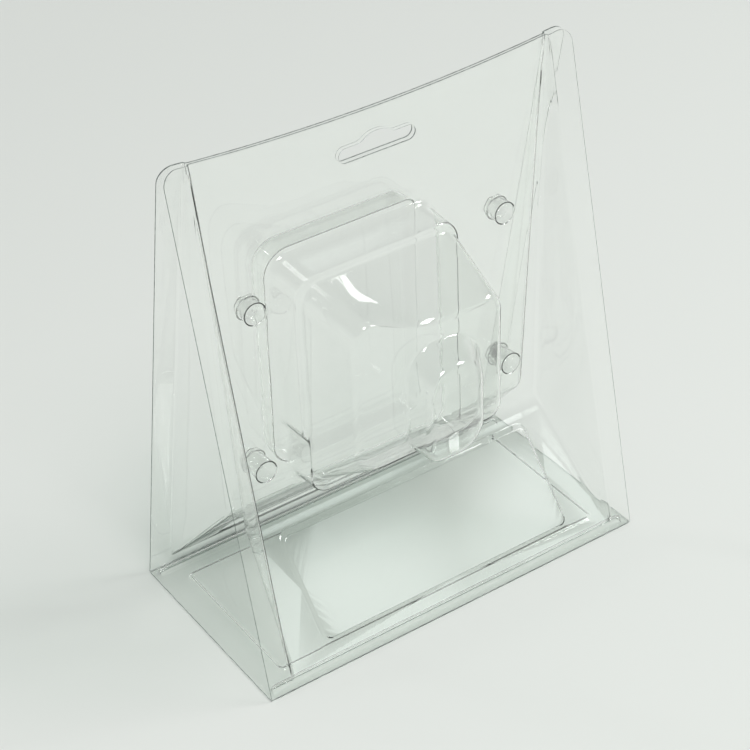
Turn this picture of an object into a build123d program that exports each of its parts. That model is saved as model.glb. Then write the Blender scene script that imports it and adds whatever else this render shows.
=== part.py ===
from build123d import *
import os

# A clear thermoformed clamshell pack that stands by itself. One sheet of plastic is folded into a
# tent: a base panel lies on the table, and a front and a back shell lean together above it.
# Each shell has a stiff flat strip down both sides and a recess between them. The middles of the
# two recesses come close to each other, snap together and hold the product in a blister.
# X runs along the width, Y from front to back and Z up. The origin is the middle of the underside
# of the base. All lengths are in millimetres.

# The tent
pack_width = 165.0
pack_depth = 88.0
pack_height = 198.0
sheet = 0.5
hinge_gap = 0.6
overrun = 20.0

# The top edge, which dips in the middle and has round corners
top_dip = 4.5
top_corner_radius = 5.5
strip_top_gap = 3.2

# The recess: a centre panel that is nearly upright, and a floor that slopes down to the fold
strip_width = 10.0
panel_top_gap = 1.6
panel_bend_gap = 9.3
bend_height = 46.8
recess_foot_height = 4.6
side_wall_lean = 6.0

# The stiffening step that is pressed into each floor
floor_step_width = 112.0
floor_step_margin = 7.0
step_rise = 1.2
step_radius = 4.0
step_taper = 30.0

# The base panel, with a half-round bead beside each fold and a stiffening rib around its middle
base_corner_radius = 2.0
bead_radius = 1.75
bead_height = 3.0
bead_setback = 3.4
rib_outer_width = 147.0
rib_width = 3.6
rib_margin = 4.0

# The hang slot
slot_drop = 19.0
slot_width = 31.5
slot_opening = 5.6
hump_width = 13.0
hump_rise = 2.6
hump_blend_radius = 1.2

# The snaps: cups in the front shell that seat in sockets of the back shell
upper_snap_spread = 106.2
upper_snap_height = 132.1
lower_snap_spread = 109.4
lower_snap_height = 65.8
snap_mouth_radius = 4.6
snap_tip_radius = 3.9
snap_tip_chamfer = 0.8
snap_seat = 3.0
snap_clearance = 0.3

# The blister's first stage, a shallow tray whose left side steps in low down
tray_left = -47.4
tray_right = 21.5
tray_bottom = 57.5
tray_top = 151.0
tray_step_in = 2.2
tray_step_bottom = 82.0
tray_step_top = 86.5
tray_corner_radius = 8.5
tray_right_radius = 5.0
tray_step_radius = 3.5
tray_front = 18.0
tray_rim_chamfer = 1.2
tray_draft = 2.0

# The second stage, a deep box whose top and bottom slope in towards its front face
box_root_left = -44.6
box_root_right = 20.6
box_root_bottom = 64.0
box_root_top = 147.2
box_left = -41.8
box_right = 19.6
box_bottom = 83.0
box_top = 133.4
box_upper_radius = 12.0
box_lower_radius = 9.0
box_right_radius = 5.5
box_front = 45.0
box_rim_radius = 2.6

# The nose, a round-topped block that stands out of the box's front face and leans in from the right
nose_root_left = -21.0
nose_root_right = 9.5
nose_root_bottom = 84.0
nose_root_top = 126.0
nose_left = -20.0
nose_right = 2.5
nose_bottom = 85.5
nose_top = 121.5
nose_arch_radius = 8.5
nose_left_foot_radius = 5.0
nose_right_foot_radius = 9.5
nose_front = 57.0
nose_rim_chamfer = 1.8

# The shallow tray of the back shell
back_tray_left = -47.4
back_tray_right = 17.4
back_tray_depth = 12.0
back_tray_radius = 10.0

# Places that the front shell, the back shell and the base share
half_width = pack_width / 2
half_depth = pack_depth / 2
half_recess = half_width - strip_width
half_bend = half_recess - side_wall_lean
slot_height = pack_height - slot_drop
axis_depth = half_depth - sheet / 2
axis_height = sheet / 2
strip_top = Vector(0, -strip_top_gap / 2, pack_height)
strip_foot = Vector(0, -half_depth, 0)
panel_top = Vector(0, -panel_top_gap / 2, pack_height)
bend = Vector(0, -panel_bend_gap / 2, bend_height)
recess_foot = strip_foot + (strip_top - strip_foot) * (recess_foot_height / pack_height)
across = Vector(half_recess, 0, 0)
across_bend = Vector(half_bend, 0, 0)


def wall_plane(a, b, c, outward):
    """The plane through three points, with its normal on the side that outward points to."""
    normal = (b - a).cross(c - a)
    if normal.dot(outward) < 0:
        normal = -normal
    return Plane(origin=a, x_dir=b - a, z_dir=normal)


# The outer faces of the front shell's walls, each with its normal away from the recess
strip_plane = wall_plane(strip_foot, strip_foot + across, strip_top, Vector(0, -1, 0))
panel_plane = wall_plane(bend, bend + across, panel_top, Vector(0, 1, 0))
floor_plane = wall_plane(bend, bend + across, recess_foot, Vector(0, 1, -1))
right_plane = wall_plane(strip_top + across, recess_foot + across, bend + across_bend, Vector(1, 0, 0))
left_plane = wall_plane(strip_top - across, recess_foot - across, bend - across_bend, Vector(-1, 0, 0))
back_panel_plane = wall_plane(
    *(Vector(p.X, -p.Y, p.Z) for p in (bend, bend + across, panel_top)), Vector(0, -1, 0)
)


def kept(solid, plane, move=0):
    """The part of a solid that lies behind a plane moved along its normal."""
    return split(solid, bisect_by=plane.offset(move), keep=Keep.BOTTOM)


def beyond(solid, plane, move=0):
    """The part of a solid that lies past a plane moved along its normal."""
    return split(solid, bisect_by=plane.offset(move), keep=Keep.TOP)


def surround():
    """A block with room for the whole pack, out of which the walls are cut."""
    size = Vector(pack_width, pack_depth, pack_height) + Vector(0, overrun, overrun) * 2
    return Pos(0, 0, pack_height / 2) * Box(size.X, size.Y, size.Z)


def recess(grow, reach):
    """The space in front of the centre panel, with its walls moved out by grow."""
    space = surround()
    for wall in (panel_plane, floor_plane, left_plane, right_plane):
        space = kept(space, wall, grow)
    return kept(space, strip_plane, reach)


def front_view():
    """The outline of a shell seen from the front, with its dipped top edge."""
    sides = Polyline(
        (-half_width, pack_height), (-half_width, -overrun), (half_width, -overrun), (half_width, pack_height)
    )
    top = ThreePointArc((half_width, pack_height), (0, pack_height - top_dip), (-half_width, pack_height))
    outline = make_face(sides.edges() + top.edges())
    upper = outline.vertices().group_by(Axis.Y)[-1]
    return extrude(Plane.XZ * fillet(upper, top_corner_radius), pack_depth, both=True)


def raised_step(plane, width, depth, inset):
    """A low plateau on a plane, open below, for the outside or, with an inset, the inside."""
    foot = RectangleRounded(width - 2 * inset, depth - 2 * inset, step_radius - inset)
    start = plane.offset(-sheet) if inset else plane.offset(-sheet / 2)
    rise = step_rise if inset else step_rise + sheet / 2
    return extrude(start * foot, rise, taper=step_taper)


def folded_sheet():
    """The front shell without its blister: two side strips, the recess and the step in its floor."""
    strips = beyond(kept(surround(), strip_plane), strip_plane, -sheet)
    walls = strips + recess(sheet, 0) - recess(0, overrun)
    up_strip = (strip_top - strip_foot).normalized()
    axis_point = Vector(0, -axis_depth, axis_height)
    foot_cut = Plane(origin=axis_point + up_strip * hinge_gap, x_dir=(1, 0, 0), z_dir=up_strip)
    shell = beyond(walls, foot_cut) & front_view()

    middle = (bend + recess_foot) * 0.5
    slope = (bend - recess_foot).length
    top_of_floor = Plane(origin=middle, x_dir=(1, 0, 0), z_dir=floor_plane.z_dir * -1)
    step_size = (floor_step_width, slope - 2 * floor_step_margin)
    shell += raised_step(top_of_floor, *step_size, 0)
    return shell - raised_step(top_of_floor, *step_size, sheet)


def outline_face(left, right, bottom, top, radii, inset):
    """A rectangle seen from the front with its own radius at each corner, drawn in by inset."""
    corners = (
        (left + inset, bottom + inset), (right - inset, bottom + inset),
        (right - inset, top - inset), (left + inset, top - inset),
    )
    path = FilletPolyline(*corners, radius=[radius - inset for radius in radii], close=True)
    return make_face(path.edges())


def front_plane(depth):
    """The upright plane that lies depth in front of the pack's middle."""
    return Plane.XZ.offset(depth)


def front_edges(solid):
    """The edges around a solid's foremost face."""
    return solid.faces().sort_by(Axis.Y)[0].edges()


def tray(inset):
    """The blister's first stage, from the middle of the pack to its front."""
    corners = (
        (tray_left, tray_step_top), (tray_left + tray_step_in, tray_step_bottom),
        (tray_left + tray_step_in, tray_bottom), (tray_right, tray_bottom),
        (tray_right, tray_top), (tray_left, tray_top),
    )
    radii = (
        tray_step_radius, tray_step_radius, tray_corner_radius, tray_right_radius,
        tray_corner_radius, tray_corner_radius,
    )
    outline = make_face(FilletPolyline(*corners, radius=list(radii), close=True).edges())
    if inset:
        outline = offset(outline, -inset)
    body = extrude(Plane.XZ * outline, tray_front - inset, taper=tray_draft)
    return chamfer(front_edges(body), tray_rim_chamfer)


def section_corners(depth, left, right, bottom, top):
    """The corners of an upright rectangle, anticlockwise from the lower left as seen from the front."""
    return [Vector(x, -depth, z) for x, z in ((left, bottom), (right, bottom), (right, top), (left, top))]


def drafted_block(root, front, radii, inset):
    """A block whose four walls lean from a root rectangle to a front one. Its corners are rounded,
    and inset moves every wall in."""
    depth = front[0]
    start = front_plane(root[0] - 2 * sheet)
    block = beyond(kept(surround(), front_plane(depth - inset)), start)
    root, front = section_corners(*root), section_corners(*front)
    below, beside, above = Vector(0, 0, -1), Vector(1, 0, 0), Vector(0, 0, 1)
    for i, outward in enumerate((below, beside, above, beside * -1)):
        block = kept(block, wall_plane(root[i], root[(i + 1) % 4], front[i], outward), -inset)
    for (across_way, up_way), radius in zip(((-1, -1), (1, -1), (1, 1), (-1, 1)), radii):
        lines = block.edges().filter_by(GeomType.LINE).filter_by(lambda e: abs((e @ 1 - e @ 0).Y) > sheet)
        corner = lines.sort_by(lambda e: e.center().X * across_way + e.center().Z * up_way)[-1]
        block = fillet(corner, radius - inset)
    return block


def deep_box(inset):
    """The second stage, which narrows from its root on the tray to its front face."""
    root = (tray_front, box_root_left, box_root_right, box_root_bottom, box_root_top)
    front = (box_front, box_left, box_right, box_bottom, box_top)
    radii = (box_lower_radius, box_right_radius, box_right_radius, box_upper_radius)
    block = drafted_block(root, front, radii, inset)
    return fillet(front_edges(block), box_rim_radius - inset)


def nose(inset):
    """The round-topped block on the box's front face."""
    root = (box_front, nose_root_left, nose_root_right, nose_root_bottom, nose_root_top)
    front = (nose_front, nose_left, nose_right, nose_bottom, nose_top)
    radii = (nose_left_foot_radius, nose_right_foot_radius, nose_arch_radius, nose_arch_radius)
    block = drafted_block(root, front, radii, inset)
    return chamfer(front_edges(block), nose_rim_chamfer)


def front_blister(inset):
    """The whole blister of the front shell, as a solid of its outside or its inside."""
    return tray(inset) + deep_box(inset) + nose(inset)


def back_tray(inset):
    """The back shell's tray, drawn in the front shell's place."""
    radii = (back_tray_radius, tray_right_radius, tray_right_radius, back_tray_radius)
    outline = outline_face(back_tray_left, back_tray_right, tray_bottom, tray_top, radii, inset)
    body = extrude(Plane.XZ * outline, back_tray_depth - inset, taper=tray_draft)
    return chamfer(front_edges(body), tray_rim_chamfer)


def snap_places():
    """The places of the four snaps, seen from the front."""
    for spread, height in ((upper_snap_spread, upper_snap_height), (lower_snap_spread, lower_snap_height)):
        for side in (-1, 1):
            yield side * spread / 2, height


def panel_depth(height):
    """How far the outer face of a centre panel lies from the pack's middle at a height."""
    share = (pack_height - height) / (pack_height - bend_height)
    return (panel_top_gap + (panel_bend_gap - panel_top_gap) * share) / 2


def snap_form(x, height, grow):
    """A snap's cone from in front of the front panel to its tip in the back shell's socket."""
    mouth = panel_depth(height)
    tip = mouth + snap_seat
    slope = (snap_mouth_radius - snap_tip_radius) / (mouth + tip)
    lead = 4 * sheet
    start = Plane(origin=(x, -mouth - lead, height), x_dir=(1, 0, 0), z_dir=(0, 1, 0))
    cone = Solid.make_cone(
        snap_mouth_radius + slope * lead + grow, snap_tip_radius + grow, mouth + tip + lead + grow, start
    )
    return chamfer(cone.faces().sort_by(Axis.Y)[-1].edges(), snap_tip_chamfer)


def hang_slot():
    """The slot for a display hook, with a hump in the middle of its upper edge."""
    body = SlotOverall(slot_width, slot_opening)
    left, right = -hump_width / 2, hump_width / 2
    rise = slot_opening / 2
    crown = rise + hump_rise
    sides = Polyline((right, rise), (right, 0), (left, 0), (left, rise))
    hump = make_face(sides.edges() + ThreePointArc((left, rise), (0, crown), (right, rise)).edges())
    outline = body + hump
    foot_points = [v for v in outline.vertices() if abs(abs(v.X) - right) < sheet]
    outline = fillet(foot_points, hump_blend_radius)
    return extrude(Plane.XZ * Pos(0, slot_height) * outline, half_depth, both=True)


def front_shell():
    """The front half: the folded sheet with the blister, the snap cups and the hang slot."""
    shell = folded_sheet()
    shell += kept(front_blister(0), panel_plane, sheet / 2)
    shell -= front_blister(sheet)
    for x, height in snap_places():
        shell += beyond(snap_form(x, height, 0), panel_plane, sheet / 2)
        shell -= snap_form(x, height, -sheet)
    return shell - hang_slot()


def back_shell():
    """The back half: the mirrored sheet with a shallow tray, the sockets and the hang slot."""
    shell = folded_sheet()
    shell += kept(back_tray(0), panel_plane, sheet / 2)
    shell -= back_tray(sheet)
    shell = mirror(shell, about=Plane.XZ)
    for x, height in snap_places():
        shell += kept(snap_form(x, height, snap_clearance + sheet), back_panel_plane, sheet / 2)
        shell -= snap_form(x, height, snap_clearance)
    return shell - hang_slot()


def base_panel():
    """The base: a flat sheet with a half-round bead beside each fold and a rib around its middle."""
    depth = 2 * (axis_depth - hinge_gap)
    base = extrude(RectangleRounded(pack_width, depth, base_corner_radius), sheet)
    for side in (-1, 1):
        place = side * (axis_depth - hinge_gap - bead_setback)
        base += bead(place, 0)
        base -= bead(place, sheet)
    rib_depth = depth - 2 * (bead_setback + bead_radius + rib_margin)
    base += rib(rib_depth, 0)
    return base - rib(rib_depth, sheet)


def rib(depth, inset):
    """The raised ring on the base, for its outside or, with an inset, its inside."""
    table = Plane.XY.offset(sheet)
    ring = raised_step(table, rib_outer_width, depth, inset)
    inner_size = Vector(rib_outer_width, depth) - Vector(rib_width, rib_width) * 2 + Vector(inset, inset) * 2
    middle = RectangleRounded(inner_size.X, inner_size.Y, step_radius / 2 + inset)
    return ring - extrude(Plane.XY * middle, sheet + step_rise, taper=-step_taper)


def bead(place, inset):
    """A half-round bead along the fold, for its outside or, with an inset, its inside."""
    radius = bead_radius - inset
    spring = bead_height - bead_radius
    foot = -overrun if inset else 0
    arch = make_face(
        Polyline((radius, spring), (radius, foot), (-radius, foot), (-radius, spring)).edges()
        + ThreePointArc((-radius, spring), (0, spring + radius), (radius, spring)).edges()
    )
    length = half_width - base_corner_radius - inset
    return extrude(Plane.YZ * Pos(place, 0) * arch, length, both=True)


os.makedirs("parts", exist_ok=True)
for name, make in (("base_panel", base_panel), ("front_shell", front_shell), ("back_shell", back_shell)):
    export_step(make(), f"parts/{name}.step")
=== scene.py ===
import math

import bmesh
import bpy
import numpy as np
from mathutils import Matrix, Vector, geometry


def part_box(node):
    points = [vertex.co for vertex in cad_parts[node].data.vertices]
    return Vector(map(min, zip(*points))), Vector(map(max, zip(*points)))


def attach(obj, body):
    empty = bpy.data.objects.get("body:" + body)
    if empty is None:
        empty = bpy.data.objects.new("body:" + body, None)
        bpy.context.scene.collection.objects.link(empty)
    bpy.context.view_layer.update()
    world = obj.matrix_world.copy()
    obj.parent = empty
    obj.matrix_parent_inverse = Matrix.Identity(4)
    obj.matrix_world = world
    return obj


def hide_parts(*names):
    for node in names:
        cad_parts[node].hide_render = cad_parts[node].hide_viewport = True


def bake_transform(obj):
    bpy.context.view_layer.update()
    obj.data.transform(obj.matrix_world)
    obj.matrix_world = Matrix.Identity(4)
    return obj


bl_info = {
    "name": "Clear Clamshell Pack",
    "version": (1, 0, 0),
    "blender": (4, 5, 0),
    "location": "3D View > Sidebar > Pack",
    "description": "Builds a self-standing clear clamshell pack out of formed sheets of plastic",
    "category": "Add Mesh",
}

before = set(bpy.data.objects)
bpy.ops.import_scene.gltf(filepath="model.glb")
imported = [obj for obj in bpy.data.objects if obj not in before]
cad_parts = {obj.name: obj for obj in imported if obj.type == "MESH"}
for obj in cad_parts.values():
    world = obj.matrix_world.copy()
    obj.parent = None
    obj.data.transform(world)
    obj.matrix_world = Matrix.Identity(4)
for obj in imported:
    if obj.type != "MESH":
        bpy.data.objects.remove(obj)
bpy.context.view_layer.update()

# Lengths in this script are in millimetres, and are multiplied by MM where Blender takes metres
MM = 0.001
BASE_LOW, BASE_HIGH = (np.array(corner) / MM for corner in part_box("base_panel"))
FRONT_LOW, FRONT_HIGH = (np.array(corner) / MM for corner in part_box("front_shell"))

# The folded sheet: side strips that lean together, and a recess between them. Its cut edge lies
# inside the solid's by EDGE_TRIM
HALF_WIDTH = (FRONT_HIGH[0] - FRONT_LOW[0]) / 2
HALF_DEPTH = 44.0
HEIGHT = 198.0
TOP_DIP = 4.5
EDGE_TRIM = 0.05
TOP_CORNER_RADIUS = 5.5
STRIP_TOP_GAP = 3.2
STRIP_WIDTH = 10.0
HALF_RECESS = HALF_WIDTH - STRIP_WIDTH
PANEL_TOP_GAP = 1.6
PANEL_BEND_GAP = 9.3
BEND_HEIGHT = 46.8
RECESS_FOOT = 4.6
FLOOR_RISE = BEND_HEIGHT - RECESS_FOOT
FLOOR_MIDDLE = (BEND_HEIGHT + RECESS_FOOT) / 2
SIDE_WALL_LEAN = 6.0

# How far two faces' depths differ where the rounding of their fold begins, for a fold of one
# millimetre. Where the recess is shallow, that is only a share of its depth
WALL_BLEND = 4.5
BEND_BLEND = 1.6
BLEND_SHARE = 0.7
LEAST_DEPTH = 0.1

# The lines of points beside each fold: how far the outermost lie, as a share of the fold's rounding
# or at the foot in millimetres, and how many there are. They run to a little above the sheet
WALL_LINES = (1.2, 9)
BEND_LINES = (1.3, 9)
FOOT_LINES = (1.0, 5)
ABOVE_SHEET = 1.0

# The step in each floor
FLOOR_STEP_WIDTH = 112.0
FLOOR_STEP_MARGIN = 7.0
FLOOR_STEP_RISE = 1.2
FLOOR_STEP_SLOPE = 1.6
FLOOR_STEP_RADIUS = 4.0
FLOOR_STEP_LOOPS = 5

# The hang slot
SLOT_HEIGHT = 179.0
SLOT_WIDTH = 31.5
SLOT_OPENING = 5.6
HUMP_WIDTH = 13.0
HUMP_RISE = 2.6
HUMP_POWER = 1.4
HUMP_POINTS = 33
SLOT_END_POINTS = 16

# The snaps
SNAP_PLACES = ((53.1, 132.1), (54.7, 65.8))
SNAP_MOUTH_RADIUS = 4.6
SNAP_TIP_RADIUS = 3.9
SNAP_SEAT = 2.0
SNAP_CLEARANCE = 0.3
SNAP_POINTS = 40
SNAP_BORDER = 0.4
SNAP_BENDS = (0.35, 0.8)
SNAP_PUCKER = 0.3
PUCKER_MIDDLE = 1.5

# The front blister: a tray, a deep box on it and an arched nose on that. Outlines are left, right,
# bottom, top, and their radii run anticlockwise from the lower left corner
TRAY = (-47.4, 21.5, 57.5, 151.0)
TRAY_RADII = (8.5, 5.0, 8.5, 8.5)
TRAY_JOG = 2.2
TRAY_JOG_BOTTOM, TRAY_JOG_TOP = 82.0, 86.5
TRAY_FRONT = 18.0
TRAY_BORDER = 3.4
TRAY_BORDER_BY_SNAP = 0.7
SNAP_REACH = 9.0
LEFT_FADE = (-10.0, -30.0)
TRAY_DRAFT = 0.63
BOX_ROOT = (-44.6, 20.6, 64.0, 147.2)
BOX_ROOT_RADII = (8.5, 5.5, 7.5, 9.0)
BOX_FACE = (-41.8, 19.6, 83.0, 133.4)
BOX_FACE_RADII = (9.0, 5.5, 5.5, 9.0)
BOX_FRONT = 45.0
SHOULDER_RISE = 11.0
SHOULDER_WIDTH = 34.0
NOSE_ROOT = (-21.0, 9.5, 84.0, 126.0)
NOSE_ROOT_RADII = (5.0, 9.5, 13.0, 12.0)
NOSE_FACE = (-20.0, 2.5, 84.5, 121.5)
NOSE_FACE_RADII = (5.0, 10.5, 10.5, 9.5)
NOSE_FRONT = 57.0
BLISTER_BENDS = (4.0, 1.2, 1.0, 2.8, 1.2, 2.8)

# The back shell's tray
BACK_TRAY = (-46.4, 17.4, 57.5, 151.0)
BACK_TRAY_RADII = (10.0, 5.0, 5.0, 10.0)
BACK_TRAY_DEPTH = 12.0
BACK_TRAY_DRAFT = 0.42
BACK_TRAY_BORDER = 0.7
BACK_TRAY_BENDS = (0.6, 1.8)

# The base: beads beside the folds and a rib around the middle
BEAD_RADIUS = 1.75
BEAD_HEIGHT = 3.0
BEAD_SETBACK = 3.4
BEAD_END_GAP = 2.2
RIB_OUTER_WIDTH = 147.0
RIB_WIDTH = 3.6
RIB_MARGIN = 4.0
RIB_RISE = 0.9
RIB_CORNER_RADIUS = 4.0

# The hinge films. The corner that a film rounds lies FILM_BULGE outside the hinge's axis and as much
# below it
HINGE_GAP = 0.6
FILM_BULGE = 0.2
FILM_INSET = 2.0

# The plastic's optics, the waves that heating leaves in it and the nicks in its cut edge
PET_IOR = 1.57
WAVE_LENGTH = 24.0
WAVE_DEPTH = 0.05
EDGE_NICK = 1.5

# The camera's place, measured by fitting the base corners and top edges to the picture
CAMERA_PLACE = (-351.1, -531.8, 542.8)
CAMERA_AZIMUTH = -33.11
CAMERA_DOWN = 35.85
CAMERA_ROLL = -2.52
CAMERA_FOCUS_PIXELS = 2161.4
PICTURE_PIXELS = 750.0
SENSOR = 36.0
CAMERA_CLIP = (50.0, 20000.0)

# The table top. The painted floor shows shadows up to the first reach and none beyond the second
FLOOR_SIZE = 6000.0
FLOOR_DROP = 0.1
SHADOW_REACH = (350.0, 1300.0)

# How finely outlines, bends and the base are divided
CORNER_POINTS = 14
SIDE_POINTS = 34
TOP_POINTS = 81
TOP_CORNER_POINTS = 12
BEND_STEPS = 7
WALL_STEPS = 3
BEAD_LINES = 21
BEAD_END_LINES = 9
RIB_LINES = 13
COARSE_STEP = 5.0
FILM_POINTS = 9
FILM_COLUMNS = 45

# The largest share of a stretch between two rings that a turn may take: of the first stretch, of the
# others
FIRST_ROOM = 0.9
ROOM = 0.45

# The size of the last ring on a flat face, as a share of the ring before
INNER_RING = 0.3
BACK_TRAY_INNER_RING = 0.5

# How close two points count as one, in the flat parts and between parts, and the angle in degrees
# from which an edge is shaded sharp
SAME_PLACE = 1e-5
WELD_DISTANCE = 0.004
SHARP_ANGLE = 42.0


class PackSettings(bpy.types.PropertyGroup):
    """Sizes and colours of the pack that a user would change."""

    sheet: bpy.props.FloatProperty(
        name="Sheet", description="Thickness of the plastic sheet",
        default=0.5 * MM, min=0.2 * MM, max=1.0 * MM, unit="LENGTH", precision=5,
    )
    fold_round: bpy.props.FloatProperty(
        name="Fold rounding", description="Length that a formed fold takes from each face beside it",
        default=2.0 * MM, min=0.2 * MM, max=2.0 * MM, unit="LENGTH", precision=5,
    )
    film: bpy.props.FloatProperty(
        name="Hinge film", description="Thickness of the film that the shells turn on",
        default=0.3 * MM, min=0.1 * MM, max=0.5 * MM, unit="LENGTH", precision=5,
    )
    plastic: bpy.props.StringProperty(
        name="Plastic", description="Colour that light keeps on its way through the sheet",
        default="#FEFFFE",
    )
    floor: bpy.props.StringProperty(name="Floor", description="Colour of the floor", default="#DFE2DE")


def settings():
    """The pack's settings in this scene."""
    return bpy.context.scene.pack_settings


def linear(hex_colour):
    """An sRGB hex colour as linear red, green, blue and an alpha of one."""
    value = np.array([int(hex_colour[i:i + 2], 16) for i in (1, 3, 5)]) / 255
    low, high = value / 12.92, ((value + 0.055) / 1.055) ** 2.4
    return (*np.where(value <= 0.04045, low, high).tolist(), 1.0)


def add_node(tree, kind, values=None, links=None, stops=()):
    """A new node of a kind, with its properties or sockets set to values, links to its inputs, and
    its ramp's hex colours at their places, of which the first two are the ramp's ends."""
    node = tree.nodes.new(kind)
    for name, value in (values or {}).items():
        if name in node.inputs:
            node.inputs[name].default_value = value
        else:
            setattr(node, name, value)
    for name, source in (links or {}).items():
        tree.links.new(source, node.inputs[name])
    for i, (place, colour) in enumerate(stops):
        elements = node.color_ramp.elements
        element = elements[i] if i < 2 else elements.new(place)
        element.position, element.color = place, linear(colour)
    return node


def shared_material(name, fill):
    """The material of that name, made and filled with nodes once."""
    material = bpy.data.materials.get(name)
    if material is None:
        material = bpy.data.materials.new(name)
        material.use_nodes = True
        fill(material.node_tree)
    return material


# Materials

def clear_pet(tree):
    """Clear PET, thermoformed from flat film. The eye sees its gloss, the thin dark lines where the
    sheet turns away, a trace of grey-green and the faint waves that the heating left. Shadow rays and
    diffuse rays pass straight, and lose more where the sheet turns away from them."""
    tree.nodes.clear()
    place = add_node(tree, "ShaderNodeTexCoord")
    waves = add_node(
        tree, "ShaderNodeTexNoise",
        {"Scale": 1 / (WAVE_LENGTH * MM), "Detail": 1.0, "Roughness": 0.4},
        {"Vector": place.outputs["Object"]},
    )
    bump = add_node(
        tree, "ShaderNodeBump", {"Strength": 0.25, "Distance": WAVE_DEPTH * MM},
        {"Height": waves.outputs["Fac"]},
    )
    plastic = {"Base Color": linear(settings().plastic), "IOR": PET_IOR}
    sheet = add_node(
        tree, "ShaderNodeBsdfPrincipled", {**plastic, "Transmission Weight": 1.0, "Roughness": 0.015},
        {"Normal": bump.outputs["Normal"]},
    )
    facing = add_node(tree, "ShaderNodeLayerWeight", {"Blend": 0.5})
    loss = add_node(
        tree, "ShaderNodeValToRGB", None, {"Fac": facing.outputs["Facing"]},
        ((0.0, "#FBFCFB"), (1.0, "#7C807E"), (0.6, "#F8FAF9"), (0.85, "#E2E6E4")),
    )
    passed = add_node(tree, "ShaderNodeBsdfTransparent", None, {"Color": loss.outputs["Color"]})
    ray = add_node(tree, "ShaderNodeLightPath")
    straight = add_node(
        tree, "ShaderNodeMath", {"operation": "MAXIMUM"},
        {0: ray.outputs["Is Shadow Ray"], 1: ray.outputs["Is Diffuse Ray"]},
    )
    mix = add_node(
        tree, "ShaderNodeMixShader", None,
        {0: straight.outputs[0], 1: sheet.outputs[0], 2: passed.outputs[0]},
    )
    add_node(tree, "ShaderNodeOutputMaterial", None, {"Surface": mix.outputs[0]})


def edge_frost_and_painted_shade(tree):
    """The die-cut edge of the PET sheet. The blade leaves it finely frosted and nicked, which its roughness
    and noise give. Its grey tone is painted shade: it draws a thin grey line round each sheet and round the
    slot, standing in for the dark line that the turned-away edge shows."""
    shader = tree.nodes["Principled BSDF"]
    place = add_node(tree, "ShaderNodeTexCoord")
    nicks = add_node(
        tree, "ShaderNodeTexNoise", {"Scale": 1 / (EDGE_NICK * MM), "Detail": 3.0},
        {"Vector": place.outputs["Object"]},
    )
    # Painted shade: the edge's grey tone, varied by the nicks, stands in for the dark line that the edge
    # shows
    painted_edge_shade = add_node(
        tree, "ShaderNodeValToRGB", None, {"Fac": nicks.outputs["Fac"]},
        ((0.35, "#5E6764"), (0.65, "#A3ABA7")),
    )
    tree.links.new(painted_edge_shade.outputs["Color"], shader.inputs["Base Color"])
    shader.inputs["Transmission Weight"].default_value = 0.45
    shader.inputs["IOR"].default_value = PET_IOR
    shader.inputs["Roughness"].default_value = 0.4


def painted_floor(tree):
    """A matt painted table top, which shows the shadow and no grain. Beyond the shadow's reach the eye
    and the sheet see it at its own colour, as a table that is lit all over."""
    shader = tree.nodes["Principled BSDF"]
    shader.inputs["Base Color"].default_value = linear(settings().floor)
    shader.inputs["Roughness"].default_value = 0.9
    shader.inputs["Specular IOR Level"].default_value = 0.1
    place = add_node(tree, "ShaderNodeTexCoord")
    away = add_node(tree, "ShaderNodeVectorMath", {"operation": "LENGTH"}, {0: place.outputs["Object"]})
    near, far = (reach * MM for reach in SHADOW_REACH)
    fade = add_node(
        tree, "ShaderNodeMapRange", {"interpolation_type": "SMOOTHSTEP", "From Min": near, "From Max": far},
        {"Value": away.outputs["Value"]},
    )
    ray = add_node(tree, "ShaderNodeLightPath")
    seen = ray.outputs["Is Camera Ray"]
    for kind in ("Is Glossy Ray", "Is Transmission Ray"):
        seen = add_node(
            tree, "ShaderNodeMath", {"operation": "MAXIMUM"}, {0: seen, 1: ray.outputs[kind]}
        ).outputs[0]
    share = add_node(tree, "ShaderNodeMath", {"operation": "MULTIPLY"}, {0: fade.outputs[0], 1: seen})
    even = add_node(tree, "ShaderNodeEmission", {"Color": linear(settings().floor)})
    mix = add_node(
        tree, "ShaderNodeMixShader", None,
        {0: share.outputs[0], 1: shader.outputs[0], 2: even.outputs[0]},
    )
    tree.links.new(mix.outputs[0], tree.nodes["Material Output"].inputs["Surface"])


# Shares and distances

def smooth_step(share):
    """A step from 0 to 1 that starts and ends level: three times the square less twice the cube of
    the share, which is kept within 0 and 1."""
    share = np.clip(share, 0, 1)
    return share * share * (3 - 2 * share)


def past_rectangle(x, y, half_x, half_y):
    """Distance from a rectangle round the origin with these half sizes, less than 0 inside it."""
    beyond_x, beyond_y = np.abs(x) - half_x, np.abs(y) - half_y
    outside = np.hypot(np.maximum(beyond_x, 0), np.maximum(beyond_y, 0))
    return outside + np.minimum(np.maximum(beyond_x, beyond_y), 0)


# Where the sheet's outer face lies

def strip_depth(z):
    """Distance in front of the pack's middle of a side strip: a straight line from foot to top."""
    return HALF_DEPTH + (STRIP_TOP_GAP / 2 - HALF_DEPTH) * z / HEIGHT


def panel_depth(z):
    """Distance in front of the middle of the centre panel: a straight line from the bend to the top."""
    share = (HEIGHT - z) / (HEIGHT - BEND_HEIGHT)
    return (PANEL_TOP_GAP + (PANEL_BEND_GAP - PANEL_TOP_GAP) * share) / 2


def floor_depth(z):
    """Distance in front of the middle of the floor: a straight line from the bend to the recess's foot."""
    foot, bend = strip_depth(RECESS_FOOT), PANEL_BEND_GAP / 2
    return bend + (foot - bend) * (BEND_HEIGHT - z) / FLOOR_RISE


def floor_length():
    """Length of the floor up its slope, from the recess's foot to the bend."""
    return np.hypot(strip_depth(RECESS_FOOT) - PANEL_BEND_GAP / 2, FLOOR_RISE)


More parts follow.
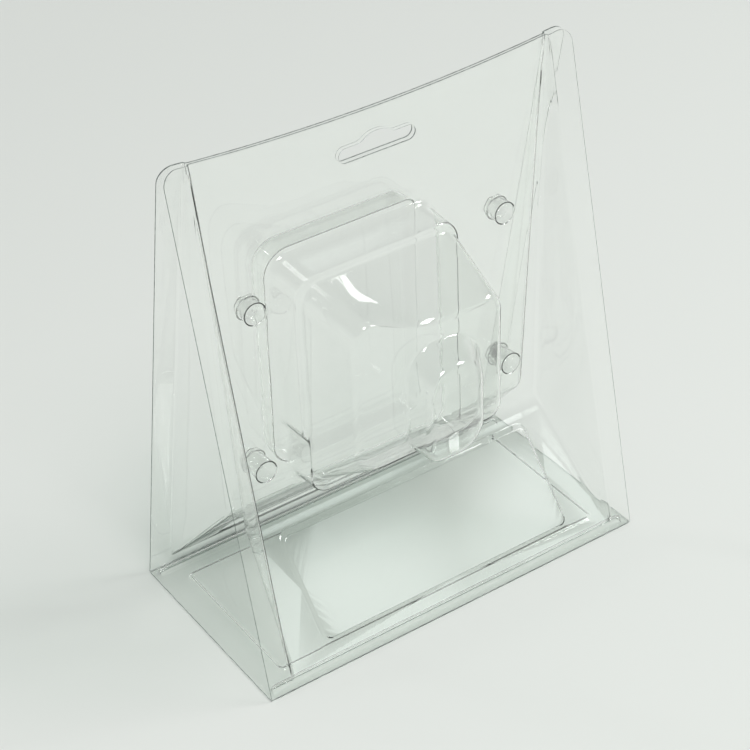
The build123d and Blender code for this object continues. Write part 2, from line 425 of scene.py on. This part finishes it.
def wall_fall():
    """How much deeper a side wall lies for each millimetre in from the strip's inner border."""
    return (strip_depth(BEND_HEIGHT) - PANEL_BEND_GAP / 2) / SIDE_WALL_LEAN


def wall_depth(x, z):
    """Distance in front of the middle of a side wall: the plane through the strip's inner border and
    the corner of the bend, so it falls with the distance in from that border."""
    return strip_depth(z) - (HALF_RECESS - np.abs(x)) * wall_fall()


def smooth_max(a, b, blend):
    """The larger of two depths. Where they differ by less than blend, the square of what is missing
    is added, so that the two faces meet in a parabola."""
    near = np.clip(1 - np.abs(a - b) / blend, 0, 1)
    return np.maximum(a, b) + blend / 4 * near ** 2


def step_rise(x, z):
    """Height of the step in the floor, along the pack's depth: a smooth step of the distance from a
    rounded rectangle that lies on the floor."""
    upright = FLOOR_RISE / floor_length()
    along = (z - FLOOR_MIDDLE) / upright
    half_x = FLOOR_STEP_WIDTH / 2 - FLOOR_STEP_RADIUS
    half_y = floor_length() / 2 - FLOOR_STEP_MARGIN - FLOOR_STEP_RADIUS
    distance = past_rectangle(x, along, half_x, half_y) - FLOOR_STEP_RADIUS
    return FLOOR_STEP_RISE / upright * smooth_step(-distance / FLOOR_STEP_SLOPE)


def sheet_depth(x, z, fold):
    """Distance in front of the middle of the folded sheet: the recess is bounded by whichever of its
    walls stands furthest forward, and never lies in front of the strips. Folds are rounded."""
    deepest = smooth_max(panel_depth(z), floor_depth(z), BEND_BLEND * fold)
    blend = np.minimum(WALL_BLEND * fold, BLEND_SHARE * (strip_depth(z) - deepest).clip(LEAST_DEPTH))
    deepest = smooth_max(deepest, wall_depth(x, z), blend)
    return -smooth_max(-strip_depth(z), -deepest, blend) + step_rise(x, z)


# Outlines, each an array of points seen from the front

def arc(centre, radius, start, end, count):
    """Points on a circle, from one angle to another in degrees."""
    angle = np.radians(np.linspace(start, end, count))
    return np.stack([centre[0] + radius * np.cos(angle), centre[1] + radius * np.sin(angle)], -1)


def rounded_rectangle(left, right, bottom, top, radii, grow=0.0):
    """A rectangle with a quarter circle at each corner, anticlockwise from the lower left corner.
    Every such outline has the same number of points on each side and corner."""
    left, right, bottom, top = left - grow, right + grow, bottom - grow, top + grow
    centres = ((left, bottom, 1, 1), (right, bottom, -1, 1), (right, top, -1, -1), (left, top, 1, -1))
    corners = []
    for i, ((x, z, toward_x, toward_z), radius) in enumerate(zip(centres, radii)):
        radius = radius + grow
        centre = (x + toward_x * radius, z + toward_z * radius)
        corners.append(arc(centre, radius, 180 + 90 * i, 270 + 90 * i, CORNER_POINTS))
    sides = []
    for i, corner in enumerate(corners):
        share = np.linspace(0, 1, SIDE_POINTS + 2)[1:-1, None]
        sides += [corner, corner[-1] + (corners[(i + 1) % 4][0] - corner[-1]) * share]
    return np.concatenate(sides)


def left_side(x):
    """Share of a move that a place takes: 0 where the left side's fade starts, rising evenly to 1."""
    start, end = LEFT_FADE
    return np.clip((start - x) / (start - end), 0, 1)


def with_jog(outline):
    """The outline with its left side moved in below the jog, by a smooth step of the height."""
    x, z = outline.T
    step = smooth_step((TRAY_JOG_TOP - z) / (TRAY_JOG_TOP - TRAY_JOG_BOTTOM))
    return np.stack([x + TRAY_JOG * step * left_side(x), z], -1)


def clear_of_snaps(outline):
    """The tray's border with its left side moved in beside the snaps, by a smooth step of the height
    above or below each snap."""
    x, z = outline.T
    from_snap = np.min([np.abs(z - place) for _, place in SNAP_PLACES], 0)
    move = (TRAY_BORDER - TRAY_BORDER_BY_SNAP) * smooth_step(1 - from_snap / SNAP_REACH)
    return np.stack([x + move * left_side(x), z], -1)


def with_shoulder(outline):
    """The outline with the left of its upper side raised, by a smooth step of the distance from the
    left, and evenly less towards the lower side."""
    x, z = outline.T
    left, _, bottom, top = BOX_FACE
    step = smooth_step((left + SHOULDER_WIDTH - x) / SHOULDER_WIDTH)
    upper = np.clip((z - bottom) / (top - bottom), 0, 1)
    return np.stack([x, z + SHOULDER_RISE * step * upper], -1)


def drawn_in(outline, share):
    """The outline drawn in towards its own middle, to a share of its size."""
    middle = outline.mean(0)
    return middle + (outline - middle) * share


def slot_outline():
    """The hang slot: a bar with half-round ends and a low arch on its upper side, which is a raised
    cosine of a power of the distance from its middle."""
    half, rise = SLOT_WIDTH / 2, SLOT_OPENING / 2
    right = arc((half - rise, 0), rise, -90, 90, SLOT_END_POINTS)
    reach = (HUMP_WIDTH + HUMP_RISE) / 2
    hump_x = np.linspace(reach, -reach, HUMP_POINTS)
    turn = np.pi * (np.abs(hump_x) / reach) ** HUMP_POWER
    hump = np.stack([hump_x, rise + HUMP_RISE * (0.5 + 0.5 * np.cos(turn))], -1)
    left = arc((rise - half, 0), rise, 90, 270, SLOT_END_POINTS)
    return np.concatenate([right, hump, left]) + (0, SLOT_HEIGHT)


def shell_outline():
    """The sheet's cut edge: straight sides and foot, round upper corners and a top that dips in a
    circular arc."""
    foot, radius = FRONT_LOW[2] + EDGE_TRIM, TOP_CORNER_RADIUS
    dip_radius = (HALF_WIDTH ** 2 + TOP_DIP ** 2) / (2 * TOP_DIP)
    x = np.linspace(HALF_WIDTH - radius, radius - HALF_WIDTH, TOP_POINTS)
    dip = HEIGHT - EDGE_TRIM - TOP_DIP + dip_radius - np.sqrt(dip_radius ** 2 - x ** 2)
    right = arc((HALF_WIDTH - radius, dip[0] - radius), radius, 0, 90, TOP_CORNER_POINTS)[:-1]
    left = arc((radius - HALF_WIDTH, dip[-1] - radius), radius, 90, 180, TOP_CORNER_POINTS)[1:]
    top = np.stack([x, dip], -1)
    return np.concatenate([[(-HALF_WIDTH, foot), (HALF_WIDTH, foot)], right, top, left])


def inside(points, loop):
    """Whether each point lies in a closed loop: a ray to the right crosses it an odd number of times."""
    (x, z), start, end = points.T, loop, np.roll(loop, -1, 0)
    above = (start[:, 1, None] > z) != (end[:, 1, None] > z)
    rise = np.where(start[:, 1] == end[:, 1], 1.0, end[:, 1] - start[:, 1])[:, None]
    cross = start[:, 0, None] + (end - start)[:, 0, None] * (z - start[:, 1, None]) / rise
    return np.sum(above & (x < cross), 0) % 2 == 1


# Surfaces

def bent_rings(keys, bends):
    """Rings that run straight from key ring to key ring and turn each corner on a parabola. A bend
    gives the length that the turn takes from both sides of its key ring, where there is room."""
    rings, room = [keys[0]], FIRST_ROOM
    for before, key, after, bend in zip(keys[:-2], keys[1:-1], keys[2:], bends):
        into = before - key
        out = after - key
        into_length = np.linalg.norm(into, axis=-1, keepdims=True)
        out_length = np.linalg.norm(out, axis=-1, keepdims=True)
        start = key + into * np.minimum(bend / into_length, room)
        end = key + out * np.minimum(bend / out_length, ROOM)
        wall = np.linspace(0, 1, WALL_STEPS + 1)[1:-1]
        last = rings[-1]
        rings += [last + (start - last) * t for t in wall]
        t = np.linspace(0, 1, BEND_STEPS + 1)
        rings += [(1 - s) ** 2 * start + 2 * s * (1 - s) * key + s * s * end for s in t]
        room = ROOM
    rings.append(keys[-1])
    return np.array(rings)


def ring_faces(count, points):
    """Quads between successive rings of closed outlines, and one face over the last ring."""
    ring, place = np.meshgrid(np.arange(count - 1), np.arange(points), indexing="ij")
    a, b = ring * points + place, ring * points + (place + 1) % points
    quads = np.stack([a, b, b + points, a + points], -1).reshape(-1, 4)
    return quads, (count - 1) * points + np.arange(points)[None]


def at_depth(outline, depth):
    """An outline seen from the front, placed at a depth in front of the middle."""
    depth = np.broadcast_to(depth, len(outline))
    return np.stack([outline[:, 0], -depth, outline[:, 1]], -1)


def front_blister_rings():
    """Rings from the centre panel through tray, box and nose to a small ring on the nose's face."""
    wide = [edge + side * TRAY_BORDER for edge, side in zip(TRAY, (-1, 1, -1, 1))]
    border = clear_of_snaps(with_jog(rounded_rectangle(*wide, TRAY_RADII)))
    root = with_jog(rounded_rectangle(*TRAY, TRAY_RADII))
    rim = with_jog(rounded_rectangle(*TRAY, TRAY_RADII, -TRAY_DRAFT))
    nose_face = rounded_rectangle(*NOSE_FACE, NOSE_FACE_RADII)
    keys = [
        at_depth(border, panel_depth(border[:, 1])),
        at_depth(root, panel_depth(root[:, 1])),
        at_depth(rim, TRAY_FRONT),
        at_depth(rounded_rectangle(*BOX_ROOT, BOX_ROOT_RADII), TRAY_FRONT),
        at_depth(with_shoulder(rounded_rectangle(*BOX_FACE, BOX_FACE_RADII)), BOX_FRONT),
        at_depth(rounded_rectangle(*NOSE_ROOT, NOSE_ROOT_RADII), BOX_FRONT),
        at_depth(nose_face, NOSE_FRONT),
        at_depth(drawn_in(nose_face, INNER_RING), NOSE_FRONT),
    ]
    return bent_rings(keys, BLISTER_BENDS)


def back_tray_rings():
    """Rings from the centre panel to a smaller ring on the back tray's face, drawn as if in front."""
    border = rounded_rectangle(*BACK_TRAY, BACK_TRAY_RADII, BACK_TRAY_BORDER)
    root = rounded_rectangle(*BACK_TRAY, BACK_TRAY_RADII)
    rim = rounded_rectangle(*BACK_TRAY, BACK_TRAY_RADII, -BACK_TRAY_DRAFT)
    keys = [
        at_depth(border, panel_depth(border[:, 1])),
        at_depth(root, panel_depth(root[:, 1])),
        at_depth(rim, BACK_TRAY_DEPTH),
        at_depth(drawn_in(rim, BACK_TRAY_INNER_RING), BACK_TRAY_DEPTH),
    ]
    return bent_rings(keys, BACK_TRAY_BENDS)


def snap_rings(x, z, root_radius, tip_radius, tip_depth):
    """Rings of a snap's cone, from its border on the panel to its flat tip. The tip is puckered: from
    its radius goes half of SNAP_PUCKER times the sum of PUCKER_MIDDLE and three waves round it, which
    differ from snap to snap."""
    turn = np.linspace(0, 2 * np.pi, SNAP_POINTS, endpoint=False)
    circle = np.stack([np.cos(turn), np.sin(turn)], -1)
    waves = np.sin(3 * turn + x) + np.sin(5 * turn + z) + np.sin(7 * turn + x + z)
    keys = []
    for radius in (root_radius + SNAP_BORDER, root_radius):
        outline = circle * radius + (x, z)
        keys.append(at_depth(outline, panel_depth(outline[:, 1])))
    tip = circle * (tip_radius - SNAP_PUCKER * (PUCKER_MIDDLE + waves)[:, None] / 2) + (x, z)
    keys += [at_depth(tip, tip_depth), at_depth(drawn_in(tip, INNER_RING), tip_depth)]
    return bent_rings(keys, SNAP_BENDS)


def cup_rings(x, z):
    """A snap's cup in the front shell, which reaches through the gap into the back shell's socket."""
    sheet = settings().sheet / MM
    reach = panel_depth(z) + SNAP_SEAT - sheet
    return snap_rings(x, z, SNAP_MOUTH_RADIUS - sheet, SNAP_TIP_RADIUS - sheet, -reach)


def socket_rings(x, z):
    """A snap's socket in the back shell, drawn as if in front: the cup's cone grown by the clearance
    and the sheet, from where the cone passes the panel."""
    grow = SNAP_CLEARANCE + settings().sheet / MM
    mouth = panel_depth(z)
    share = 2 * mouth / (2 * mouth + SNAP_SEAT)
    root = SNAP_MOUTH_RADIUS + (SNAP_TIP_RADIUS - SNAP_MOUTH_RADIUS) * share
    return snap_rings(x, z, root + grow, SNAP_TIP_RADIUS + grow, mouth + SNAP_SEAT + grow)


def floor_step_loops():
    """Outlines on the step's flank, from its foot to its top, as seen from the front."""
    half_x = FLOOR_STEP_WIDTH / 2
    half_y = floor_length() / 2 - FLOOR_STEP_MARGIN
    radii = (FLOOR_STEP_RADIUS,) * 4
    loops = []
    for share in np.linspace(0, 1, FLOOR_STEP_LOOPS):
        x, along = rounded_rectangle(-half_x, half_x, -half_y, half_y, radii, -share * FLOOR_STEP_SLOPE).T
        loops.append(np.stack([x, FLOOR_MIDDLE + along * FLOOR_RISE / floor_length()], -1))
    return loops


def spread(reach, count):
    """Evenly spaced places on both sides of a line."""
    return np.linspace(-reach, reach, count)


def crease_lines(fold):
    """Lines along the recess's folds as pairs of points seen from the front: each strip's inner
    border, the panel's sides, the bend and the floor's sides and foot, with lines beside each."""
    half_bend = HALF_RECESS - SIDE_WALL_LEAN
    apex = HEIGHT + ABOVE_SHEET
    apex_x = HALF_RECESS - (strip_depth(apex) - panel_depth(apex)) / wall_fall()
    slope = (strip_depth(RECESS_FOOT) - PANEL_BEND_GAP / 2) / FLOOR_RISE
    across = WALL_BLEND * fold / wall_fall() * spread(*WALL_LINES)
    upward = BEND_BLEND * fold / slope * spread(*BEND_LINES)
    level = [(half_bend, BEND_HEIGHT + move) for move in upward]
    level += [(HALF_RECESS, RECESS_FOOT + move) for move in spread(*FOOT_LINES)]
    lines = [((-x, z), (x, z)) for x, z in level]
    for side in (-1, 1):
        for move in across:
            border, bend = side * (HALF_RECESS + move), (side * (half_bend + move), BEND_HEIGHT)
            lines += [
                ((border, RECESS_FOOT), (border, apex)),
                (bend, (side * (apex_x + move), apex)),
                (bend, (border, RECESS_FOOT)),
            ]
    return lines


def folded_sheet(holes, fold):
    """The flat parts of a shell as points and faces: the outline, the folds and the borders of the
    formed parts are joined into triangles, and every point is put on the sheet's face."""
    outline = shell_outline()
    loops = [outline, *holes, *floor_step_loops()]
    lines = crease_lines(fold)
    points = np.concatenate([*loops, np.array(lines).reshape(-1, 2)])
    edges, first = [], 0
    for loop in loops:
        place = np.arange(len(loop))
        edges.append(np.stack([place, (place + 1) % len(loop)], -1) + first)
        first += len(loop)
    edges.append(np.arange(2 * len(lines)).reshape(-1, 2) + first)
    flat, _, triangles, *_ = geometry.delaunay_2d_cdt(
        list(map(Vector, points)), np.concatenate(edges).tolist(), [], 0, SAME_PLACE
    )
    flat, triangles = np.array(flat), np.array(triangles)
    middles = flat[triangles].mean(1)
    keep = inside(middles, outline)
    for hole in holes:
        keep &= ~inside(middles, hole)
    used, triangles = np.unique(triangles[keep], return_inverse=True)
    flat = flat[used]
    return at_depth(flat, sheet_depth(*flat.T, fold)), (triangles.reshape(-1, 3),)


def surface(name, parts, outward):
    """A mesh out of surfaces in millimetres, merged where their borders meet. Each part is an array
    of points and its arrays of faces, and most faces look along outward."""
    faces, first = [], 0
    for points, arrays in parts:
        faces += [array + first for array in arrays]
        first += len(points)
    corners = np.concatenate([array.ravel() for array in faces])
    sizes = np.concatenate([np.full(len(array), array.shape[1]) for array in faces])
    data = bpy.data.meshes.new(name)
    data.vertices.add(first)
    data.vertices.foreach_set("co", np.concatenate([points for points, _ in parts]).ravel() * MM)
    data.loops.add(len(corners))
    data.loops.foreach_set("vertex_index", corners.astype(np.int32))
    data.polygons.add(len(sizes))
    data.polygons.foreach_set("loop_start", (np.cumsum(sizes) - sizes).astype(np.int32))
    data.update(calc_edges=True)
    mesh = bmesh.new()
    mesh.from_mesh(data)
    bmesh.ops.remove_doubles(mesh, verts=mesh.verts, dist=WELD_DISTANCE * MM)
    bmesh.ops.recalc_face_normals(mesh, faces=mesh.faces)
    mesh.normal_update()
    if sum(face.normal.dot(Vector(outward)) * face.calc_area() for face in mesh.faces) < 0:
        bmesh.ops.reverse_faces(mesh, faces=mesh.faces)
    mesh.to_mesh(data)
    mesh.free()
    return data


def thickened(mesh_data, sheet):
    """Gives a surface its wall on the inner side, and keeps only the cut edges sharp, frosted and grey with
    painted shade.
    """
    mesh_data.materials.append(shared_material("clear_thermoformed_pet", clear_pet))
    # The cut edges' material is frosted and grey with painted shade for their dark outline
    mesh_data.materials.append(shared_material("die_cut_pet_edge_with_painted_shade", edge_frost_and_painted_shade))
    piece = bpy.data.objects.new("surface", mesh_data)
    bpy.context.scene.collection.objects.link(piece)
    wall = piece.modifiers.new("wall", "SOLIDIFY")
    wall.thickness = sheet
    wall.offset = -1.0
    wall.use_even_offset = False
    wall.use_quality_normals = True
    wall.material_offset_rim = 1
    evaluated = piece.evaluated_get(bpy.context.evaluated_depsgraph_get())
    solid = bpy.data.meshes.new_from_object(evaluated)
    bpy.data.objects.remove(piece)
    solid.shade_smooth()
    solid.set_sharp_from_angle(angle=math.radians(SHARP_ANGLE))
    return solid


def finished_piece(data, sheet, body=None, node=None):
    """Makes the object of a surface, with its wall and shading, its body and the node it replaces."""
    name = data.name
    data.name = name + "_face"
    piece = bpy.data.objects.new(name, thickened(data, sheet))
    bpy.context.scene.collection.objects.link(piece)
    piece.data.name = name
    shade = piece.modifiers.new("even shading", "WEIGHTED_NORMAL")
    shade.keep_sharp = True
    if body:
        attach(piece, body)
        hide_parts(node)
    return piece


def formed_shell(name, body, node, blister, snap, side):
    """One shell: the folded sheet with its blister and snaps. The side is -1 for the front shell and 1
    for the back shell, which is drawn as if in front and mirrored."""
    values = settings()
    formed = [blister, *(snap(half * x, z) for x, z in SNAP_PLACES for half in (-1, 1))]
    holes = [slot_outline(), *(rings[0][:, [0, 2]] for rings in formed)]
    parts = [folded_sheet(holes, values.fold_round / MM)]
    parts += [(rings.reshape(-1, 3), ring_faces(*rings.shape[:2])) for rings in formed]
    parts = [(points * (1, -side, 1), faces) for points, faces in parts]
    finished_piece(surface(name, parts, (0, side, 0)), values.sheet, body, node)


def grid(across, along, height):
    """Points and quads of a grid given by its three coordinates, each an array of rows and columns."""
    rows, columns = across.shape
    row, column = np.meshgrid(np.arange(rows - 1), np.arange(columns - 1), indexing="ij")
    corner = (row * columns + column).ravel()
    quads = np.stack([corner, corner + columns, corner + columns + 1, corner + 1], -1)
    return np.stack([across, along, height], -1).reshape(-1, 3), (quads,)


def graded(stops):
    """Coordinates through every stop, with no step longer than the coarse one."""
    stops = np.unique(np.round(stops, 4))
    counts = np.maximum(np.ceil(np.diff(stops) / COARSE_STEP).astype(int), 1)
    parts = [np.linspace(a, b, n, endpoint=False) for a, b, n in zip(stops[:-1], stops[1:], counts)]
    return np.append(np.concatenate(parts), stops[-1])


def bead_centre():
    """How far a bead's middle lies from the middle of the base."""
    return BASE_HIGH[1] - BEAD_SETBACK


def bead_rise(x, y):
    """Height of the beads over the sheet: half an ellipse across each bead, and a quarter of one
    along its ends."""
    across = (np.abs(y) - bead_centre()) / BEAD_RADIUS
    beyond = np.maximum(np.abs(x) - (HALF_WIDTH - BEAD_END_GAP - BEAD_RADIUS), 0) / BEAD_RADIUS
    sheet = settings().sheet / MM
    return (BEAD_HEIGHT - sheet) * np.sqrt(np.clip(1 - across ** 2 - beyond ** 2, 0, 1))


def bead_lines():
    """Places across the base where the beads need points, closer together at their steep sides."""
    across = BEAD_RADIUS * np.cos(np.linspace(0, np.pi, BEAD_LINES))
    return np.concatenate([across + bead_centre(), -across - bead_centre()])


def bead_ends():
    """Places along the base where the beads' round ends need points."""
    turn = np.linspace(0, np.pi / 2, BEAD_END_LINES)
    end = HALF_WIDTH - BEAD_END_GAP - BEAD_RADIUS * (1 - np.sin(turn))
    return np.concatenate([end, -end])


def rib_half_depth():
    """Half the rib ring's outer size from front to back."""
    return bead_centre() - BEAD_RADIUS - RIB_MARGIN


def rib_lines(half):
    """Places across one pair of the rib's sides where it needs points."""
    across = np.linspace(0, RIB_WIDTH, RIB_LINES)
    return np.concatenate([half - across, across - half])


def rib_rise(x, y):
    """Height of the rib over the sheet: a raised cosine of the distance from the middle line of a
    rounded rectangle."""
    radius = RIB_CORNER_RADIUS - RIB_WIDTH / 2
    half = np.array([RIB_OUTER_WIDTH / 2, rib_half_depth()]) - RIB_WIDTH / 2 - radius
    distance = np.abs(past_rectangle(x, y, *half) - radius)
    share = np.clip(distance / (RIB_WIDTH / 2), 0, 1)
    return RIB_RISE * (0.5 + 0.5 * np.cos(np.pi * share))


def film_profile():
    """The hinge film from the base's edge round the fold to the shell's foot: a parabola whose corner
    lies just inside the pack's lower outer corner."""
    up = np.array([-(HALF_DEPTH - STRIP_TOP_GAP / 2), HEIGHT])
    up = up / np.linalg.norm(up)
    sheet = settings().sheet / MM
    axis = np.array([HALF_DEPTH - sheet / 2, sheet / 2])
    start, corner = axis + (-HINGE_GAP, 0), axis + (FILM_BULGE, -FILM_BULGE)
    end = axis + up * HINGE_GAP
    t = np.linspace(0, 1, FILM_POINTS)[:, None]
    return (1 - t) ** 2 * start + 2 * t * (1 - t) * corner + t * t * end


# Stage

# Each pale patch of the surroundings: its direction, how far from it the light ends in degrees, and
# how much its middle adds to the surroundings' strength
PALE_PATCHES = (
    ((0.394, -0.728, 0.558), 4.5, 14.0),
    ((0.490, -0.690, 0.531), 3.5, 14.0),
    ((0.44, 0.70, 0.56), 4.0, 5.0),
)

# Each square soft box: name, place, the point it looks at, side and power
SOFT_BOXES = (
    ("soft_box_right", (1900, -900, 2100), (0, 0, 80), 900, 40.0),
    ("soft_box_front", (-300, -1650, 2570), (0, 0, 80), 900, 51.0),
    ("window_back_left", (-800, 1440, 1140), (0, 0, 120), 170, 3.0),
)


def soft_box(name, place, target, side, power):
    """A white area lamp at a place, turned to a target."""
    lamp = bpy.data.lights.new(name, "AREA")
    lamp.shape = "SQUARE"
    lamp.size = side * MM
    lamp.energy = power
    holder = bpy.data.objects.new(name, lamp)
    bpy.context.scene.collection.objects.link(holder)
    place, target = Vector(place) * MM, Vector(target) * MM
    turn = (target - place).to_track_quat("-Z", "Y").to_matrix().to_4x4()
    holder.matrix_world = Matrix.Translation(place) @ turn


def surroundings():
    """A plain studio: pale near the horizon and darker overhead, with the pale patches added to a
    strength of one, so the sheet mirrors them all."""
    world = bpy.data.worlds.new("studio")
    world.use_nodes = True
    bpy.context.scene.world = world
    tree = world.node_tree
    tree.nodes.clear()
    direction = add_node(tree, "ShaderNodeTexCoord")
    parts = add_node(tree, "ShaderNodeSeparateXYZ", None, {0: direction.outputs["Generated"]})
    sky = add_node(
        tree, "ShaderNodeValToRGB", None, {"Fac": parts.outputs["Z"]}, ((0.1, "#E6E8E6"), (0.5, "#6E7170"))
    )
    strength = None
    for patch, reach, level in PALE_PATCHES:
        near = add_node(
            tree, "ShaderNodeVectorMath", {"operation": "DOT_PRODUCT"}, {0: direction.outputs["Generated"]}
        )
        near.inputs[1].default_value = Vector(patch).normalized()
        border = math.cos(math.radians(reach))
        glow = add_node(
            tree, "ShaderNodeMapRange",
            {"interpolation_type": "SMOOTHSTEP", "From Min": border, "To Max": level},
            {"Value": near.outputs["Value"]},
        )
        total = add_node(tree, "ShaderNodeMath", {"operation": "ADD"}, {0: glow.outputs[0]})
        if strength is None:
            total.inputs[1].default_value = 1.0
        else:
            tree.links.new(strength, total.inputs[1])
        strength = total.outputs[0]
    light = add_node(
        tree, "ShaderNodeBackground", None, {"Color": sky.outputs["Color"], "Strength": strength}
    )
    add_node(tree, "ShaderNodeOutputWorld", None, {"Surface": light.outputs[0]})


def place_camera():
    """The camera, from its place, azimuth, downward angle and roll."""
    lens = bpy.data.cameras.new("camera")
    lens.sensor_width = SENSOR
    lens.lens = CAMERA_FOCUS_PIXELS / PICTURE_PIXELS * SENSOR
    lens.clip_start, lens.clip_end = (distance * MM for distance in CAMERA_CLIP)
    camera = bpy.data.objects.new("camera", lens)
    bpy.context.scene.collection.objects.link(camera)
    bpy.context.scene.camera = camera
    azimuth, down = math.radians(CAMERA_AZIMUTH), math.radians(CAMERA_DOWN)
    roll = Matrix.Rotation(math.radians(CAMERA_ROLL), 4, "Z")
    tilt = Matrix.Rotation(math.pi / 2 - down, 4, "X")
    heading = Matrix.Rotation(azimuth, 4, "Z")
    camera.matrix_world = Matrix.Translation(Vector(CAMERA_PLACE) * MM) @ heading @ tilt @ roll


class PACK_OT_front_shell(bpy.types.Operator):
    """Build the front shell with its stepped blister and its four snap cups"""

    bl_idname = "pack.front_shell"
    bl_label = "Front Shell"

    def execute(self, context):
        formed_shell("front_shell_sheet", "front", "front_shell", front_blister_rings(), cup_rings, -1)
        return {"FINISHED"}


class PACK_OT_back_shell(bpy.types.Operator):
    """Build the back shell with its shallow tray and the four sockets of the snaps"""

    bl_idname = "pack.back_shell"
    bl_label = "Back Shell"

    def execute(self, context):
        formed_shell("back_shell_sheet", "back", "back_shell", back_tray_rings(), socket_rings, 1)
        return {"FINISHED"}


class PACK_OT_base_panel(bpy.types.Operator):
    """Build the base panel with its beads and rib"""

    bl_idname = "pack.base_panel"
    bl_label = "Base Panel"

    def execute(self, context):
        sheet = settings().sheet
        x = graded((-HALF_WIDTH, *rib_lines(RIB_OUTER_WIDTH / 2), *bead_ends(), HALF_WIDTH))
        y = graded((BASE_LOW[1], *bead_lines(), *rib_lines(rib_half_depth()), BASE_HIGH[1]))
        across, along = np.meshgrid(x, y, indexing="ij")
        height = sheet / MM + np.maximum(bead_rise(across, along), rib_rise(across, along))
        data = surface("base_panel_sheet", [grid(across, along, height)], (0, 0, 1))
        finished_piece(data, sheet, "base", "base_panel")
        return {"FINISHED"}


class PACK_OT_hinge_films(bpy.types.Operator):
    """Build the two films of plastic that the shells turn on"""

    bl_idname = "pack.hinge_films"
    bl_label = "Hinge Films"

    def execute(self, context):
        profile = film_profile()
        x = np.linspace(FILM_INSET - HALF_WIDTH, HALF_WIDTH - FILM_INSET, FILM_COLUMNS)
        across, place = np.meshgrid(x, np.arange(len(profile)), indexing="ij")
        for name, body, side in (("front_hinge_film", "front", -1), ("back_hinge_film", "back", 1)):
            face = grid(across, side * profile[place, 0], profile[place, 1])
            film = finished_piece(surface(name, [face], (0, side, 0)), settings().film)
            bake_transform(film)
        return {"FINISHED"}


class PACK_OT_stage(bpy.types.Operator):
    """Set up the table top, the soft boxes, the surroundings and the camera"""

    bl_idname = "pack.stage"
    bl_label = "Stage"

    def execute(self, context):
        half = FLOOR_SIZE / 2 * MM
        mesh = bpy.data.meshes.new("table_top")
        corners = [(-half, -half), (half, -half), (half, half), (-half, half)]
        mesh.from_pydata([(x, y, -FLOOR_DROP * MM) for x, y in corners], [], [(0, 1, 2, 3)])
        table = bpy.data.objects.new("table_top", mesh)
        bpy.context.scene.collection.objects.link(table)
        mesh.materials.append(shared_material("matt_painted_table", painted_floor))
        for lamp in SOFT_BOXES:
            soft_box(*lamp)
        surroundings()
        place_camera()
        context.scene.view_settings.view_transform = "Standard"
        return {"FINISHED"}


class PACK_PT_pieces(bpy.types.Panel):
    """Lists the pack's sizes and colours and the operators that build it"""

    bl_idname = "PACK_PT_pieces"
    bl_label = "Clear Clamshell Pack"
    bl_space_type = "VIEW_3D"
    bl_region_type = "UI"
    bl_category = "Pack"

    def draw(self, context):
        for name in ("sheet", "fold_round", "film", "plastic", "floor"):
            self.layout.prop(context.scene.pack_settings, name)
        for operator in OPERATORS:
            self.layout.operator(operator.bl_idname)


OPERATORS = (
    PACK_OT_front_shell, PACK_OT_back_shell, PACK_OT_base_panel, PACK_OT_hinge_films, PACK_OT_stage,
)


def register():
    for item in (PackSettings, *OPERATORS, PACK_PT_pieces):
        bpy.utils.register_class(item)
    bpy.types.Scene.pack_settings = bpy.props.PointerProperty(type=PackSettings)


def unregister():
    del bpy.types.Scene.pack_settings
    for item in (PACK_PT_pieces, *reversed(OPERATORS), PackSettings):
        bpy.utils.unregister_class(item)


def main():
    """Registers the classes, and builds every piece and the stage."""
    register()
    bpy.ops.pack.front_shell()
    bpy.ops.pack.back_shell()
    bpy.ops.pack.base_panel()
    bpy.ops.pack.hinge_films()
    bpy.ops.pack.stage()


if __name__ == "__main__":
    main()
